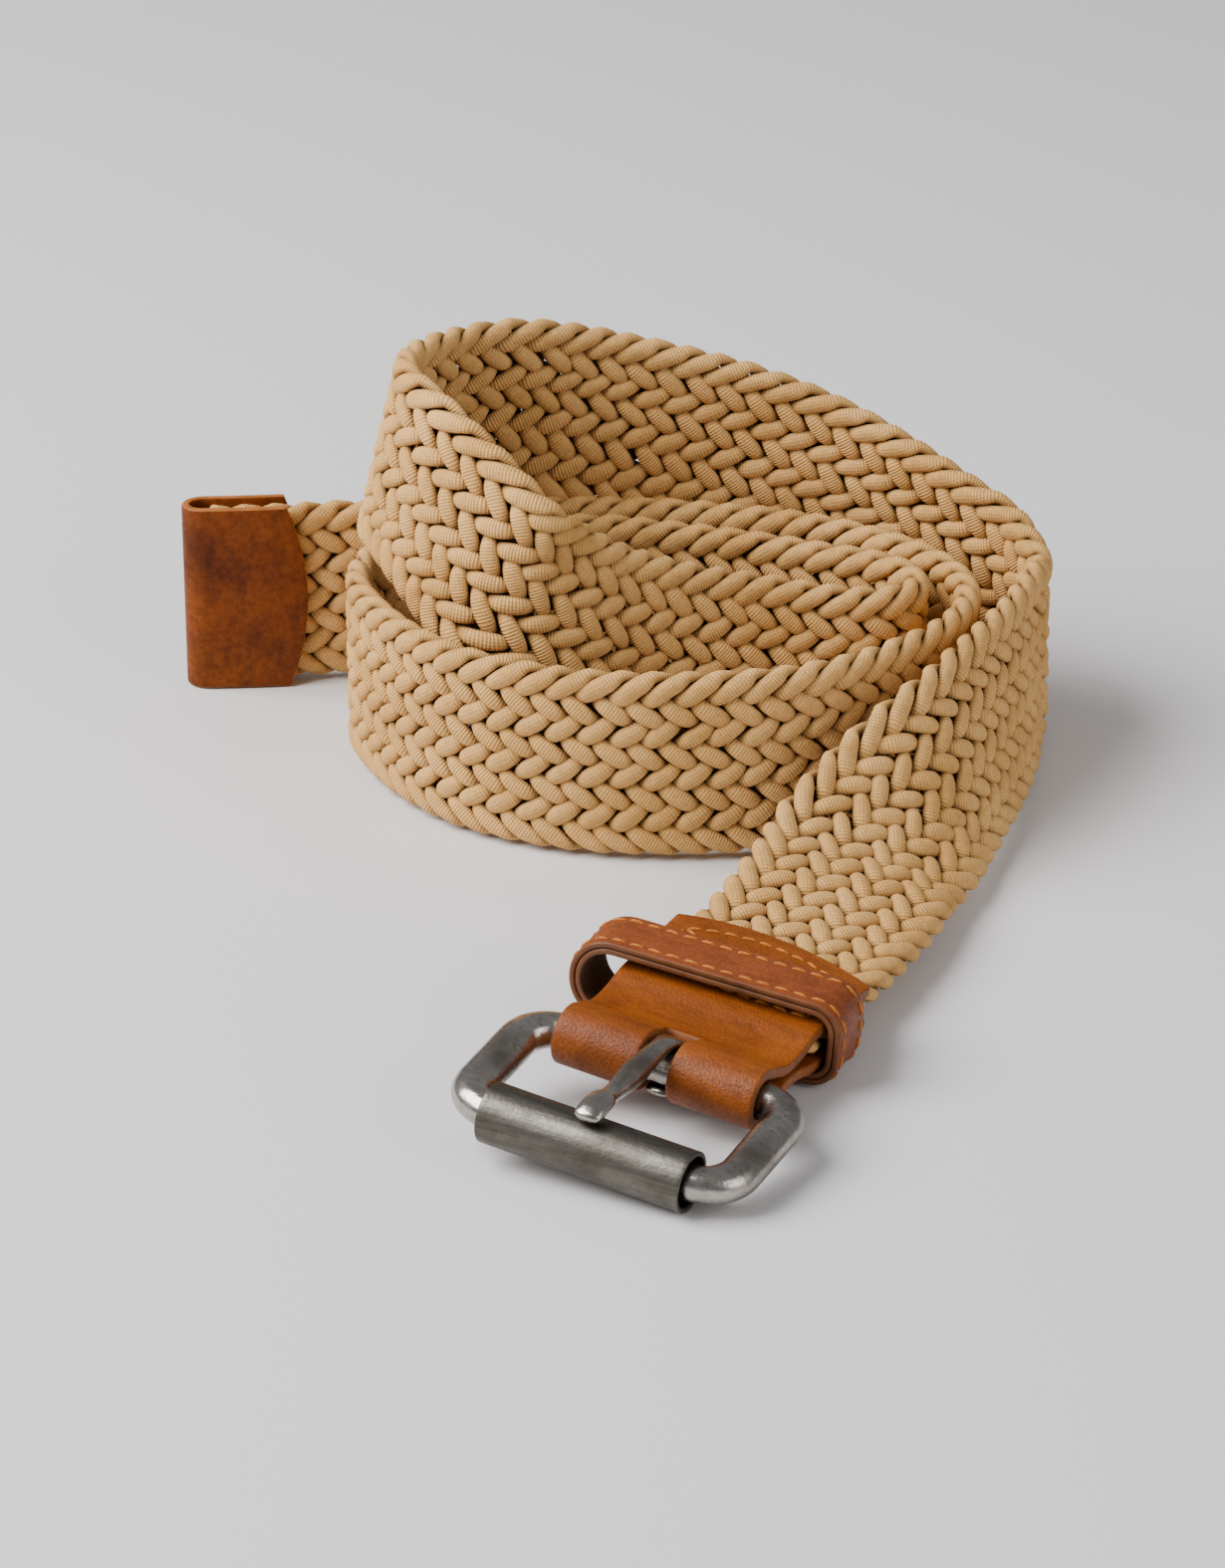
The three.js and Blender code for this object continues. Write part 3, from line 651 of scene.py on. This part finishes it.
def thicken(sheet, leather, edge, offset=0.0):
    # two material places, so that the cut edges can take the second
    sheet.data.materials.append(None)
    sheet.data.materials.append(None)
    solid = sheet.modifiers.new("thickness", "SOLIDIFY")
    solid.thickness = leather
    solid.offset = offset
    solid.material_offset_rim = 1
    rounding = sheet.modifiers.new("edges", "BEVEL")
    rounding.width = edge
    rounding.segments = 3
    rounding.limit_method = "ANGLE"
    rounding.angle_limit = math.radians(50)
    applyAll(sheet)


tabValues = {
    "edge": 0.00045, "columns": 28, "rows": 150,
    # where the leaves are pinched together: distance behind the bar and half height
    "valley": [
        (0.0186, 0.0031), (0.0170, 0.0027), (0.0155, 0.0022), (0.0135, 0.00175),
        (0.0110, 0.0015), (0.0090, 0.0015), (0.0074, 0.0018), (0.0056, 0.0026),
    ],
}


def addTab(values):
    mid = belt["leafHalf"] - belt["leather"] / 2
    lobe = belt["bore"] + belt["leather"] / 2
    rear = belt["tabSide"] + belt["tabCrown"] + 0.001
    leaf = [(y, mid) for y in np.linspace(rear, 0.0205, 10)]
    valley = values["valley"]
    top = leaf + valley + [tuple(p) for p in arc(lobe, 58, 178, 12)]
    outline = top + [(y, -z) for y, z in reversed(top)]
    line, at = evenLine(outline, 0.0004)
    middleAt = at[-1] / 2
    sideAt = middleAt - (rear - belt["tabSide"])
    slotAt = np.interp(-belt["slotRear"], -line[:len(line) // 2, 0], middleAt - at[:len(line) // 2])

    def shape(u, v):
        column = np.round((u + 1) / 2 * values["columns"])
        inner = values["columns"] // 2 - 2
        outerStep = (belt["tabHalf"] - belt["slotHalf"]) / inner
        x = np.where(column <= inner, -belt["tabHalf"] + column * outerStep,
                     np.where(column >= inner + 4, belt["slotHalf"] + (column - inner - 4) * outerStep,
                              -belt["slotHalf"] + (column - inner) * belt["slotHalf"] / 2))
        crown = belt["tabCrown"] * (1 - (x / belt["tabHalf"]) ** 2)
        far = np.clip((np.abs(v) - 0.5) / 0.5, 0, 1)
        along = middleAt + v * sideAt + np.sign(v) * far * crown
        y = np.interp(along, at, line[:, 0])
        z = np.interp(along, at, line[:, 1])
        return alongRoute(np.stack([x, y, z], 1))

    deselect()
    bpy.ops.mesh.primitive_grid_add(x_subdivisions=values["columns"], y_subdivisions=values["rows"], size=2)
    tab = bpy.context.object
    tab.name = tab.data.name = "tab_leather"
    # the slot for the prong, two columns to each side
    slot = slotAt / sideAt
    slotWide = 2 / (values["columns"] / 2)
    bpy.ops.object.mode_set(mode="EDIT")
    bpy.ops.mesh.select_mode(type="FACE")
    bpy.ops.mesh.select_all(action="DESELECT")
    bpy.ops.object.mode_set(mode="OBJECT")
    for face in tab.data.polygons:
        face.select = abs(face.center.x) < slotWide and abs(face.center.y) < slot
    bpy.ops.object.mode_set(mode="EDIT")
    bpy.ops.mesh.delete(type="FACE")
    bpy.ops.object.mode_set(mode="OBJECT")
    flat = coordinates(tab)
    place(tab, shape(flat[:, 0], flat[:, 1]))
    thicken(tab, belt["leather"], values["edge"])
    outward(tab)
    smooth(tab)
    return settle(tab, "belt", ["buckle_tab"], tabLeather, tabEdge)


addTab(tabValues)
print("tab folded")

tipValues = {"leather": 0.0016, "edge": 0.0004, "hollow": 0.00225}


def addTip(values):
    mid = values["hollow"] + values["leather"] / 2
    deep = belt["tipSide"] + belt["tipCrown"] + 0.001
    nose = arc(1, 90, 180, 9) * (belt["tipNose"] - values["leather"] / 2, mid) + (belt["tipNose"], 0)
    top = [(t, mid) for t in np.linspace(deep, belt["tipNose"] + 0.001, 8)] + [tuple(p) for p in nose]
    outline = top + [(t, -z) for t, z in reversed(top)]
    line, at = evenLine(outline, 0.0003)
    middleAt = at[-1] / 2
    sideAt = middleAt - (deep - belt["tipSide"])

    def shape(u, v):
        crown = belt["tipCrown"] * (1 - u * u)
        far = np.clip((np.abs(v) - 0.3) / 0.7, 0, 1)
        along = middleAt + v * sideAt + np.sign(v) * far * crown
        t = np.interp(along, at, line[:, 0])
        z = np.interp(along, at, line[:, 1])
        return alongRoute(np.stack([u * belt["tipHalf"], route["length"] - t, z], 1))

    tip = bendSheet("tip_leather", 24, 80, shape, values["leather"], values["edge"])
    outward(tip)
    smooth(tip)
    return settle(tip, "belt", ["tip_cover"], tipLeather, lightEdge)


addTip(tipValues)
print("tip folded")

# keeper: fuller at the end where it hangs clear of the tab
keeperValues = {
    "at": 0.0245, "shift": -0.0031, "lift": 0.0004, "yaw": 4, "band": 0.011,
    "innerHalf": 0.0227, "innerHeight": 0.00555, "leather": 0.0011, "gap": 0.00012,
    "fullRound": 0.0053, "tightRound": 0.0030, "edge": 0.00035, "rowInset": 0.0017,
}


def keeperPoint(values, points):
    origin, across, back, out = (v[0] for v in axesAt(values["at"]))
    yaw = math.radians(values["yaw"])
    x = across * math.cos(yaw) + back * math.sin(yaw)
    y = back * math.cos(yaw) - across * math.sin(yaw)
    origin = origin + across * values["shift"] + out * values["lift"]
    return origin + np.asarray(points, float) @ np.array([x, y, out])


def keeperLine(values, grow, step=0.0006):
    halfX, halfZ = values["innerHalf"] + grow, values["innerHeight"] + grow
    points = []
    for sx, sz, start in ((1, -1, -90), (1, 1, 0), (-1, 1, 90), (-1, -1, 180)):
        radius = (values["tightRound"] if sx > 0 else values["fullRound"]) + grow
        corner = np.array([sx * (halfX - radius), sz * (halfZ - radius)])
        points += [tuple(corner + p) for p in arc(radius, start, start + 90, 9)]
    line = np.array(points + points[:1])
    length = np.concatenate([[0], np.cumsum(np.linalg.norm(np.diff(line, axis=0), axis=1))])
    at = np.linspace(0, length[-1], int(length[-1] / step) + 1)
    return np.stack([np.interp(at, length, line[:, j]) for j in range(2)], 1), at


def addKeeperLayer(values, name, node, inside, *materials):
    line, at = keeperLine(values, inside + values["leather"] / 2)
    deselect()
    bpy.ops.mesh.primitive_cylinder_add(vertices=160, radius=1, depth=values["band"], end_fill_type="NOTHING")
    layer = bpy.context.object
    layer.name = layer.data.name = name
    hoop = coordinates(layer)
    along = (np.arctan2(hoop[:, 1], hoop[:, 0]) / (2 * math.pi) % 1) * at[-1]
    x = np.interp(along, at, line[:, 0])
    z = np.interp(along, at, line[:, 1])
    place(layer, keeperPoint(values, np.stack([x, -hoop[:, 2], z], 1)))
    outward(layer)
    thicken(layer, values["leather"], values["edge"])
    outward(layer)
    smooth(layer)
    return settle(layer, "keeper", [node], *materials)


faceInside = keeperValues["leather"] + keeperValues["gap"]
addKeeperLayer(keeperValues, "keeper_outer", "keeper_face", faceInside, keeperLeather, paintedEdge)
addKeeperLayer(keeperValues, "keeper_inner", "keeper_lining", 0, fleshSide, paintedEdge)
print("keeper wrapped")

# stitching: one stitch is shaped once and laid along each seam
stitchValues = {"length": 0.0027, "gap": 0.0006, "width": 0.0006, "rise": 0.0003, "lift": 0.00008}


def addStitches(name, values, seams, body, nodes):
    deselect()
    bpy.ops.mesh.primitive_uv_sphere_add(segments=10, ring_count=8, radius=0.5, rotation=(0, math.pi / 2, 0))
    first = bpy.context.object
    bpy.ops.object.transform_apply(location=False, rotation=True, scale=False)
    one = coordinates(first)
    one[:, 0] *= values["length"]
    one[:, 1] *= values["width"]
    one[:, 2] *= values["rise"] * 2
    one[:, 2] -= (one[:, 0] / values["length"] * 2) ** 4 * values["rise"] * 0.7
    faces = [tuple(face.vertices) for face in first.data.polygons]
    bpy.data.objects.remove(first)
    points, allFaces = [], []
    for seam in seams:
        spots, ups = seam
        length = np.concatenate([[0], np.cumsum(np.linalg.norm(np.diff(spots, axis=0), axis=1))])
        count = max(int(round(length[-1] / (values["length"] + values["gap"]))), 1)
        for number in range(count):
            at = (number + 0.5) / count * length[-1]
            a = np.array([np.interp(at - 0.0002, length, spots[:, j]) for j in range(3)])
            b = np.array([np.interp(at + 0.0002, length, spots[:, j]) for j in range(3)])
            up = np.array([np.interp(at, length, ups[:, j]) for j in range(3)])
            along = (b - a) / np.linalg.norm(b - a)
            side = np.cross(up, along)
            side /= np.linalg.norm(side)
            along = along * 0.995 + side * 0.1 * math.sin(number * 2.4)
            along /= np.linalg.norm(along)
            side = np.cross(up, along)
            side /= np.linalg.norm(side)
            up = np.cross(along, side)
            base = len(points)
            points += ((a + b) / 2 + up * values["lift"] + one @ np.array([along, side, up])).tolist()
            allFaces += [tuple(base + v for v in face) for face in faces]
    mesh = bpy.data.meshes.new(name)
    mesh.from_pydata(points, [], allFaces)
    mesh.polygons.foreach_set("use_smooth", [True] * len(mesh.polygons))
    piece = bpy.data.objects.new(name, mesh)
    bpy.context.scene.collection.objects.link(piece)
    return settle(piece, body, nodes, seamThread)


# a box with a cross in it on one leaf of the tab
def tabSeams(side, inset=0.0036, front=0.022):
    half = belt["tabHalf"] - inset
    rear = belt["tabSide"] - inset
    u = np.linspace(1, -1, 25)
    bow = np.stack([u * half, rear + belt["tabCrown"] * (1 - u * u)], 1)
    corners = [[(half, front), (half, rear)], [(-half, rear), (-half, front)],
               [(-half, front), (half, front)], [(half, rear), (-half, front)],
               [(half, front), (-half, rear)]]
    lines = [bow] + [np.linspace(a, b, 40) for a, b in corners]
    seams = []
    for line in lines:
        height = np.full(len(line), side * belt["leafHalf"])
        spots = alongRoute(np.column_stack([line, height]))
        ups = axesAt(line[:, 1])[3] * side
        seams.append((spots, ups))
    return seams


addStitches("tab_stitches_top", stitchValues, tabSeams(1), "belt", ["tab_stitching_top"])
addStitches("tab_stitches_under", stitchValues, tabSeams(-1), "belt", ["tab_stitching_under"])


def keeperSeam(values, row):
    line, at = keeperLine(values, 2 * values["leather"] + values["gap"])
    ahead = np.gradient(line, axis=0)
    ahead /= np.linalg.norm(ahead, axis=1)[:, None]
    level = np.full(len(line), row)
    spots = keeperPoint(values, np.column_stack([line[:, 0], level, line[:, 1]]))
    ups = keeperPoint(values, np.column_stack([ahead[:, 1], level * 0, -ahead[:, 0]]))
    ups -= keeperPoint(values, [(0, 0, 0)])
    return [(spots, ups)]


rowAt = keeperValues["band"] / 2 - keeperValues["rowInset"]
addStitches("keeper_stitches_front", stitchValues, keeperSeam(keeperValues, -rowAt), "keeper",
            ["keeper_stitching_front"])
addStitches("keeper_stitches_rear", stitchValues, keeperSeam(keeperValues, rowAt), "keeper",
            ["keeper_stitching_rear"])
print("seams stitched")

# buckle
frameValues = {
    "corner": 0.0062, "segments": 220, "roundSegments": 32,
    "sideFuller": 0.18, "sideFrom": 0.0208, "sideOver": 0.003,
}


def roundedLoop(halfX, halfY, radius, count):
    points = []
    for sx, sy, start in ((1, -1, -90), (1, 1, 0), (-1, 1, 90), (-1, -1, 180)):
        corner = np.array([sx * (halfX - radius), sy * (halfY - radius)])
        points += [tuple(corner + p) for p in arc(radius, start, start + 90, 15)]
    line = np.array(points + points[:1])
    length = np.concatenate([[0], np.cumsum(np.linalg.norm(np.diff(line, axis=0), axis=1))])
    at = np.linspace(0, length[-1], count, endpoint=False)
    line = np.stack([np.interp(at, length, line[:, j]) for j in range(2)], 1)
    return line


def addBuckleFrame(values):
    segments = values["segments"]
    thin = 0.1
    deselect()
    bpy.ops.mesh.primitive_torus_add(major_segments=segments, minor_segments=values["roundSegments"],
                                     major_radius=1, minor_radius=thin)
    loop = bpy.context.object
    loop.name = loop.data.name = "buckle_loop"
    rod = coordinates(loop)
    line = roundedLoop(belt["frameHalf"], belt["frameLength"] / 2, values["corner"], segments)
    ahead = np.roll(line, -1, 0) - np.roll(line, 1, 0)
    ahead /= np.linalg.norm(ahead, axis=1)[:, None]
    step = np.round(np.arctan2(rod[:, 1], rod[:, 0]) / (2 * math.pi) * segments).astype(int) % segments
    outwardBy = (np.hypot(rod[:, 0], rod[:, 1]) - 1) / thin * belt["bar"]
    height = rod[:, 2] / thin * belt["bar"]
    onArm = np.clip((np.abs(line[step, 0]) - values["sideFrom"]) / values["sideOver"], 0, 1)
    outwardBy *= 1 + values["sideFuller"] * onArm
    x = line[step, 0] + ahead[step, 1] * outwardBy
    y = line[step, 1] - ahead[step, 0] * outwardBy - belt["frameLength"] / 2
    place(loop, aboutBar(np.stack([x, y, height], 1)))
    outward(loop)
    smooth(loop, 80)
    return settle(loop, "frame", ["buckle_frame"], framePewter)


addBuckleFrame(frameValues)

rollerValues = {
    "radius": 0.00525, "wall": 0.0008, "length": 0.0376, "edge": 0.0002,
    "seam": 0.00018, "seamAt": 262,
}


def addRoller(values):
    mid = values["radius"] - values["wall"] / 2
    halfSeam = math.degrees(values["seam"] / 2 / mid)

    def shape(u, v):
        angle = np.radians(values["seamAt"] + halfSeam + (v + 1) / 2 * (360 - 2 * halfSeam))
        x = u * values["length"] / 2
        y = -np.cos(angle) * mid - belt["frameLength"]
        return aboutBar(np.stack([x, y, np.sin(angle) * mid], 1))

    tube = bendSheet("roller_tube", 40, 96, shape, values["wall"], values["edge"])
    outward(tube)
    smooth(tube, 50)
    return settle(tube, "roller", ["roller"], rollerPewter, rollerPewter)


addRoller(rollerValues)

# the prong's middle line, with its half width and half thickness at each point
prongValues = {
    "line": [
        (-0.0030, -0.0035, 0.0020, 0.0007), (-0.0012, -0.0043, 0.0025, 0.0008),
        (0.0012, -0.0043, 0.0026, 0.00085), (0.0034, -0.0028, 0.0026, 0.0009),
        (0.0044, 0.0, 0.0026, 0.0009), (0.0034, 0.0028, 0.0026, 0.0009),
        (0.0012, 0.0044, 0.0021, 0.0009), (-0.0015, 0.0049, 0.0018, 0.0013),
        (-0.0055, 0.0052, 0.0019, 0.0018), (-0.0105, 0.0056, 0.0023, 0.0022),
        (-0.0148, 0.0058, 0.0019, 0.0019), (-0.0180, 0.0061, 0.0015, 0.0015),
        (-0.0204, 0.0066, 0.0016, 0.0014), (-0.0214, 0.0071, 0.0025, 0.0014),
        (-0.0250, 0.0073, 0.0026, 0.0014), (-0.0268, 0.0069, 0.0024, 0.0011),
        (-0.0275, 0.0066, 0.0021, 0.0008),
    ],
    "square": 2.2,
}


def addProng(values):
    deselect()
    rings = 120
    bpy.ops.mesh.primitive_uv_sphere_add(segments=28, ring_count=rings, radius=1)
    prong = bpy.context.object
    prong.name = prong.data.name = "prong_tongue"
    ball = coordinates(prong)
    table, at = evenLine(values["line"], 0.0002, rounds=3)
    share = np.arccos(np.clip(ball[:, 2], -1, 1)) / math.pi
    ending = np.clip(np.minimum(share, 1 - share) * rings / 3, 0, 1)
    ending = np.sqrt(1 - (1 - ending) ** 2)
    along = share * at[-1]
    y, z, wide, thick = (np.interp(along, at, table[:, j]) for j in range(4))
    aheadY = np.interp(along, at, np.gradient(table[:, 0]))
    aheadZ = np.interp(along, at, np.gradient(table[:, 1]))
    size = np.hypot(aheadY, aheadZ)
    angle = np.arctan2(ball[:, 1], ball[:, 0])
    power = 2 / values["square"]
    across = np.sign(np.cos(angle)) * np.abs(np.cos(angle)) ** power * wide * ending
    rise = np.sign(np.sin(angle)) * np.abs(np.sin(angle)) ** power * thick * ending
    place(prong, aboutBar(np.stack([across, y - rise * aheadZ / size, z + rise * aheadY / size], 1)))
    outward(prong)
    smooth(prong, 50)
    return settle(prong, "prong", ["prong"], prongPewter)


addProng(prongValues)
print("buckle made")

# floor and lights
stageValues = {
    "floor": (0.66, 0.643, 0.64),
    "sky": (0.88, 0.88, 0.9),
    "skyStrength": 0.33,
    "keyPower": 36,
    "keyAt": (-0.84, -0.1, 0.88),
    "keySize": 0.95,
    "fillPower": 7,
    "fillAt": (0.9, -0.7, 0.6),
    "fillSize": 0.9,
}


def addFloor(values):
    deselect()
    bpy.ops.mesh.primitive_plane_add(size=6, location=(0, 0.5, -0.0001))
    floor = bpy.context.object
    floor.name = "floor"
    bpy.ops.object.transform_apply(location=True, rotation=True, scale=True)
    material, tree, shader = newMaterial("paper")
    shader.inputs["Base Color"].default_value = (*values["floor"], 1)
    shader.inputs["Roughness"].default_value = 0.9
    floor.data.materials.append(material)


def addLamp(name, spot, power, size, aim=(0, 0, 0.03)):
    bpy.ops.object.light_add(type="AREA", location=spot)
    lamp = bpy.context.object
    lamp.name = name
    lamp.data.energy = power
    lamp.data.size = size
    lamp.rotation_euler = (Vector(aim) - Vector(spot)).to_track_quat("-Z", "Y").to_euler()
    return lamp


def addSky(values):
    world = bpy.data.worlds.new("studio")
    world.use_nodes = True
    background = world.node_tree.nodes["Background"]
    background.inputs["Color"].default_value = (*values["sky"], 1)
    background.inputs["Strength"].default_value = values["skyStrength"]
    bpy.context.scene.world = world


addFloor(stageValues)
addSky(stageValues)
addLamp("key", stageValues["keyAt"], stageValues["keyPower"], stageValues["keySize"])
addLamp("fill", stageValues["fillAt"], stageValues["fillPower"], stageValues["fillSize"])
print("floor and lights set")
